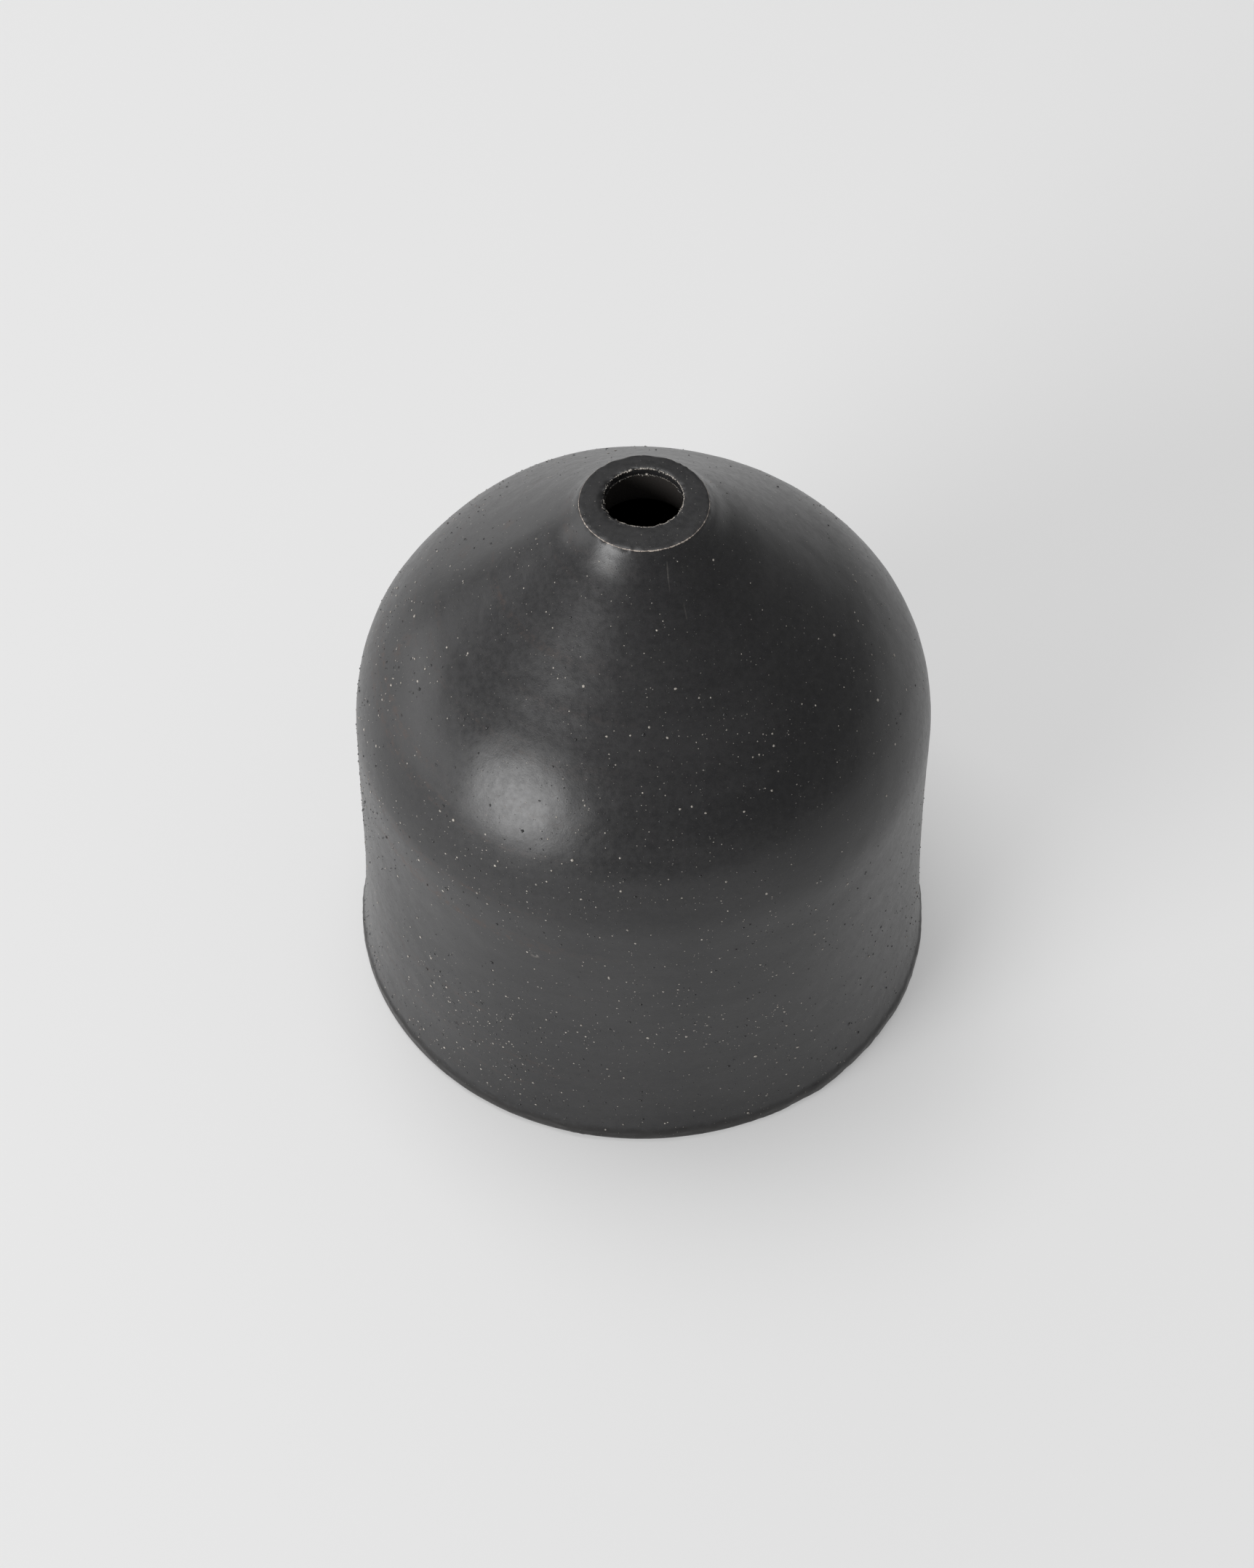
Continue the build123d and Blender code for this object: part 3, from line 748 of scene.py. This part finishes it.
def glazeMaterial(name, g, seedPlace, marks):
    # satin glaze over speckled clay: clouds, turning streaks, mottle, rust, painted shade along the foot,
    # specks, fine specks that are partly painted glints, worn edges, bare clay
    material = bpy.data.materials.new(name)
    material.use_nodes = True
    tree = material.node_tree
    shader = tree.nodes["Principled BSDF"]
    place = newNode(tree, "ShaderNodeTexCoord").outputs["Object"]
    inputs = {0: place, "Scale": perMetre}
    scaled = newNode(tree, "ShaderNodeVectorMath", inputs, operation="SCALE").outputs[0]
    moved = vectorNode(tree, "ADD", scaled, seedPlace)
    sideways, depth, upward = newNode(tree, "ShaderNodeSeparateXYZ", {0: scaled}).outputs
    squeezed = {0: times(tree, sideways, g["streakSqueeze"]), 1: times(tree, depth, g["streakSqueeze"]),
                2: attributeNode(tree, "along")}
    flat = newNode(tree, "ShaderNodeCombineXYZ", squeezed).outputs[0]
    cloud = noiseNode(tree, moved, *g["cloud"])
    streak = noiseNode(tree, flat, *g["streak"])
    mottle = noiseNode(tree, moved, *g["mottle"])
    grit = noiseNode(tree, moved, *g["grit"])
    ragged = noiseNode(tree, moved, *g["ragged"])
    fineRag = noiseNode(tree, moved, *g["fineRag"])

    tone = plus(tree, times(tree, cloud, g["cloudShare"]), times(tree, streak, g["streakShare"]))
    tone = plus(tree, tone, times(tree, mottle, g["mottleShare"]))
    tone = plus(tree, tone, times(tree, grit, g["gritShare"]))
    colour = mixColour(tree, stepNode(tree, tone, *g["toneRange"]), g["dark"], g["light"])

    rustFine = stepNode(tree, mottle, *g["fineRange"])
    rust = times(tree, stepNode(tree, noiseNode(tree, flat, *g["rustNoise"]), *g["rustRange"]), rustFine)
    rust = times(tree, rust, stepNode(tree, sideways, *g["rustSide"]))
    for spot, reach, strength in marks["rustSpots"]:
        near = stepNode(tree, awayFrom(tree, scaled, spot), reach, g["rustCore"], 0.0, strength)
        rust = larger(tree, rust, times(tree, near, rustFine))
    colour = mixColour(tree, times(tree, rust, g["rustShare"]), colour, g["rust"])

    # painted shade along the foot: the lowest few millimetres of the cover, under the lip, are mixed towards
    # the dark brown lip colour, with a ragged upper edge
    lipShadeHeight = plus(tree, upward, times(tree, mottle, g["lipShadeRagged"]))
    lipShadeBand = stepNode(tree, lipShadeHeight, g["lipShadeTop"] + g["lipShadeFade"], g["lipShadeTop"], 0.0, g["lipShadeShare"])
    colour = mixColour(tree, lipShadeBand, colour, g["lip"])

    speck, speckChance = spotsIn(tree, moved, g["speckCells"], g["speckShare"], g["speckReach"],
                                 g["speckEdge"])
    speckTone = times(tree, speck, stepNode(tree, speckChance, 0.0, 1.0, g["speckFaintest"], 1.0))
    # fine pale specks, partly grog and partly painted glints: faint pale dots that stand in for glints on
    # the glaze, each with a small bump
    fineSpeckGlint, fineSpeckGlintChance = spotsIn(tree, moved, g["fineSpeckGlintCells"], g["fineSpeckGlintShare"], g["fineSpeckGlintReach"], g["fineSpeckGlintEdge"])
    fineSpeckGlintTone = times(tree, fineSpeckGlint, stepNode(tree, fineSpeckGlintChance, 0.0, 1.0, *g["fineSpeckGlintTones"]))
    pale = larger(tree, larger(tree, speckTone, fineSpeckGlintTone), attributeNode(tree, "grain"))
    colour = mixColour(tree, pale, colour, g["speck"])

    chipped = plus(tree, stepNode(tree, ragged, *g["ringChips"]), times(tree, fineRag, g["ringFineShare"]))
    ringReach = times(tree, times(tree, stepNode(tree, depth, *g["ringFront"]), chipped), g["ringWear"])
    ringReach = minus(tree, ringReach, attributeNode(tree, "toRing"))
    ringWorn = stepNode(tree, plus(tree, ringReach, g["ringLine"]), *g["ringEdge"])
    brownReach = plus(tree, ringReach, times(tree, mottle, g["brownRagged"]))
    ringBrown = times(tree, stepNode(tree, brownReach, *g["brownEdge"]), g["brownShare"])
    colour = mixColour(tree, ringBrown, colour, g["brown"])
    ventReach = times(tree, stepNode(tree, fineRag, *g["fineRange"]), g["ventWear"])
    ventReach = plus(tree, ventReach, stepNode(tree, depth, *g["ventFront"], 0.0, g["ventLine"]))
    ventWorn = stepNode(tree, minus(tree, ventReach, attributeNode(tree, "toVent")), *g["ventEdge"])
    worn = larger(tree, ringWorn, ventWorn)
    colour = mixColour(tree, times(tree, worn, g["wornShare"]), colour, g["worn"])

    for start, end, halfWidth, strength in marks["scratches"]:
        away = minus(tree, awayFromLine(tree, scaled, start, end), times(tree, mottle, g["scratchRagged"]))
        scratch = stepNode(tree, away, halfWidth, 0.0, 0.0, strength)
        colour = mixColour(tree, times(tree, scratch, fineRag), colour, g["speck"])
    for spot, reach, strength in marks["smudges"]:
        near = stepNode(tree, awayFrom(tree, scaled, spot), reach, g["smudgeCore"], 0.0, strength)
        colour = mixColour(tree, times(tree, near, rustFine), colour, g["speck"])

    bareReach = plus(tree, attributeNode(tree, "bare"), times(tree, ragged, g["bareRagged"]))
    bare = stepNode(tree, bareReach, *g["bareEdge"])
    shadedClay = tuple(g["clayShade"] * part for part in g["clay"][:3]) + (1,)
    colour = mixColour(tree, bare, colour, mixColour(tree, grit, g["clay"], shadedClay))
    tree.links.new(colour, shader.inputs["Base Color"])

    smoothest = g["roughness"] - g["roughSpread"] / 2
    rough = stepNode(tree, mottle, *g["roughRange"], smoothest, smoothest + g["roughSpread"])
    rough = plus(tree, rough, times(tree, worn, g["wornRoughness"]))
    rough = mixValue(tree, attributeNode(tree, "onGrain"), rough, g["grainRoughness"])
    rough = mixValue(tree, bare, rough, g["clayRoughness"])
    tree.links.new(rough, shader.inputs["Roughness"])

    pit = spotsIn(tree, moved, g["pitCells"], g["pitShare"], g["pitReach"], g["pitEdge"])[0]
    height = times(tree, noiseNode(tree, moved, *g["ripple"]), g["rippleHeight"])
    height = plus(tree, height, times(tree, grit, g["gritHeight"]))
    height = plus(tree, height, times(tree, speck, g["speckHeight"]))
    height = plus(tree, height, times(tree, fineSpeckGlint, g["fineSpeckGlintHeight"]))
    height = minus(tree, height, times(tree, pit, g["pitHeight"]))
    height = plus(tree, height, times(tree, times(tree, bare, fineRag), g["bareHeight"]))
    bump = newNode(tree, "ShaderNodeBump", {"Height": height, "Distance": 1 / perMetre, "Strength": 1.0})
    tree.links.new(bump.outputs[0], shader.inputs["Normal"])
    shader.inputs["IOR"].default_value = g["refraction"]
    return material


# painted shade: the cover's bare clay, in the vent's throat and under the lip, is darker than the dish's and
# cup's clay
coverGlazeShadedClaySet = dict(glazeSet, clay=(0.036, 0.031, 0.028, 1))
ventGlazeSet = dict(glazeSet, speck=(0.74, 0.69, 0.62, 1))
dishGlazeSet = dict(glazeSet, rustShare=0.2, ringWear=0.2, lipShadeShare=0.0)
cupGlazeSet = dict(glazeSet, rustShare=0.25, ringWear=0.28, lipShadeShare=0.0)
coverGlaze = glazeMaterial("charcoalGlaze", coverGlazeShadedClaySet, (13.0, 7.0, 3.0), markSet)
ventGlaze = glazeMaterial("ventGlaze", ventGlazeSet, (13.0, 7.0, 3.0), unmarked)
dishGlaze = glazeMaterial("dishGlaze", dishGlazeSet, (61.0, 17.0, 41.0), unmarked)
cupGlaze = glazeMaterial("cupGlaze", cupGlazeSet, (97.0, 53.0, 29.0), unmarked)
print("glazes made")

# ---- each piece's glaze, the body that carries it, and the part of the frame that it stands for
for piece, glaze, body, node, slot in ((coverPiece, coverGlaze, "cover", "dome_cover", "cover_glaze"),
                                       (coverGrains, coverGlaze, "cover", None, "cover_glaze"),
                                       (ventGrains, ventGlaze, "cover", None, "cover_glaze"),
                                       (dishPiece, dishGlaze, "base", "base_dish", "dish_glaze"),
                                       (cupPiece, cupGlaze, "cup", "candle_cup", "cup_glaze"),
                                       (cupGrains, cupGlaze, "cup", None, "cup_glaze")):
    piece.data.materials.append(glaze)
    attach(piece, body)
    if node:
        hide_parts(node)

# ---- table, light and camera
studioSet = {
    "tableReach": 4.0, "tableColour": (0.56, 0.56, 0.56, 1), "tableGlow": 0.3, "tableRoughness": 0.9,
    "tableClouds": (3.0, 2.0, 0.5), "cloudShade": 0.97, "roomColour": (1.0, 1.0, 1.0, 1), "roomLight": 0.24,
}
lampSet = {
    "keyLight": {"azimuth": -132.0, "rise": 16.6, "distance": 2.0, "width": 1.22, "height": 0.96,
                 "glow": 10.3, "round": True},
    "topLight": {"azimuth": -45.0, "rise": 74.0, "distance": 1.7, "width": 1.1, "height": 1.1, "glow": 3.4,
                 "round": False},
    "leftPanel": {"azimuth": -82.0, "rise": 4.0, "distance": 1.8, "width": 1.5, "height": 0.6, "glow": 2.2,
                  "round": False},
    "backPanel": {"azimuth": -20.0, "rise": 9.0, "distance": 2.0, "width": 2.0, "height": 0.7, "glow": 1.4,
                  "round": False},
}
cameraSet = {"rise": 51.512, "distance": 0.5926, "aim": (-0.00276, 0.0, 0.03639), "lens": 76.08,
             "sensor": 36.0, "nearest": 0.01}


def lookingAt(thing, spot):
    thing.rotation_euler = (Vector(spot) - thing.location).to_track_quat("-Z", "Y").to_euler()


def softBox(name, lamp, middle):
    # a glowing rectangle that faces the object; glow is its brightness, azimuth 0 is behind the object
    light = bpy.data.lights.new(name, "AREA")
    light.shape = "ELLIPSE" if lamp["round"] else "RECTANGLE"
    light.size = lamp["width"]
    light.size_y = lamp["height"]
    area = lamp["width"] * lamp["height"] * (math.pi / 4 if lamp["round"] else 1.0)
    light.energy = lamp["glow"] * math.pi * area
    box = bpy.data.objects.new(name, light)
    bpy.context.scene.collection.objects.link(box)
    azimuth = math.radians(lamp["azimuth"])
    rise = math.radians(lamp["rise"])
    side = Vector((math.sin(azimuth) * math.cos(rise), math.cos(azimuth) * math.cos(rise), math.sin(rise)))
    box.location = middle + lamp["distance"] * side
    lookingAt(box, middle)
    box.visible_camera = False


reach = studioSet["tableReach"] * perMetre
tablePoints = reach * np.array([(-1, -1, 0), (1, -1, 0), (1, 1, 0), (-1, 1, 0)], float)
table = pieceFrom("table", tablePoints, [[0, 1, 2, 3]])
tablePaint = bpy.data.materials.new("tablePaint")
tablePaint.use_nodes = True
paintTree = tablePaint.node_tree
paintPlace = newNode(paintTree, "ShaderNodeTexCoord").outputs["Object"]
paintNoise = noiseNode(paintTree, paintPlace, *studioSet["tableClouds"])
paleTable = studioSet["tableColour"]
greyTable = tuple(studioSet["cloudShade"] * part for part in paleTable[:3]) + (1,)
paint = paintTree.nodes["Principled BSDF"]
paintTree.links.new(mixColour(paintTree, paintNoise, paleTable, greyTable), paint.inputs["Base Color"])
paint.inputs["Roughness"].default_value = studioSet["tableRoughness"]
paint.inputs["Emission Color"].default_value = (1, 1, 1, 1)
paint.inputs["Emission Strength"].default_value = studioSet["tableGlow"]
table.data.materials.append(tablePaint)
table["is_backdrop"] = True

objectLow, objectHigh = (Vector(corner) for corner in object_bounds())
middle = (objectLow + objectHigh) / 2
for lampName, lamp in lampSet.items():
    softBox(lampName, lamp, middle)

room = bpy.data.worlds.new("room")
bpy.context.scene.world = room
room.use_nodes = True
room.node_tree.nodes["Background"].inputs["Color"].default_value = studioSet["roomColour"]
room.node_tree.nodes["Background"].inputs["Strength"].default_value = studioSet["roomLight"]

cameraData = bpy.data.cameras.new("camera")
cameraData.lens = cameraSet["lens"]
cameraData.sensor_width = cameraSet["sensor"]
cameraData.clip_start = cameraSet["nearest"]
camera = bpy.data.objects.new("camera", cameraData)
bpy.context.scene.collection.objects.link(camera)
aim = Vector(cameraSet["aim"])
lift = math.radians(cameraSet["rise"])
camera.location = aim + cameraSet["distance"] * Vector((0, -math.cos(lift), math.sin(lift)))
lookingAt(camera, aim)
bpy.context.scene.camera = camera
bpy.context.scene.view_settings.view_transform = "Standard"
print("table, light and camera set")
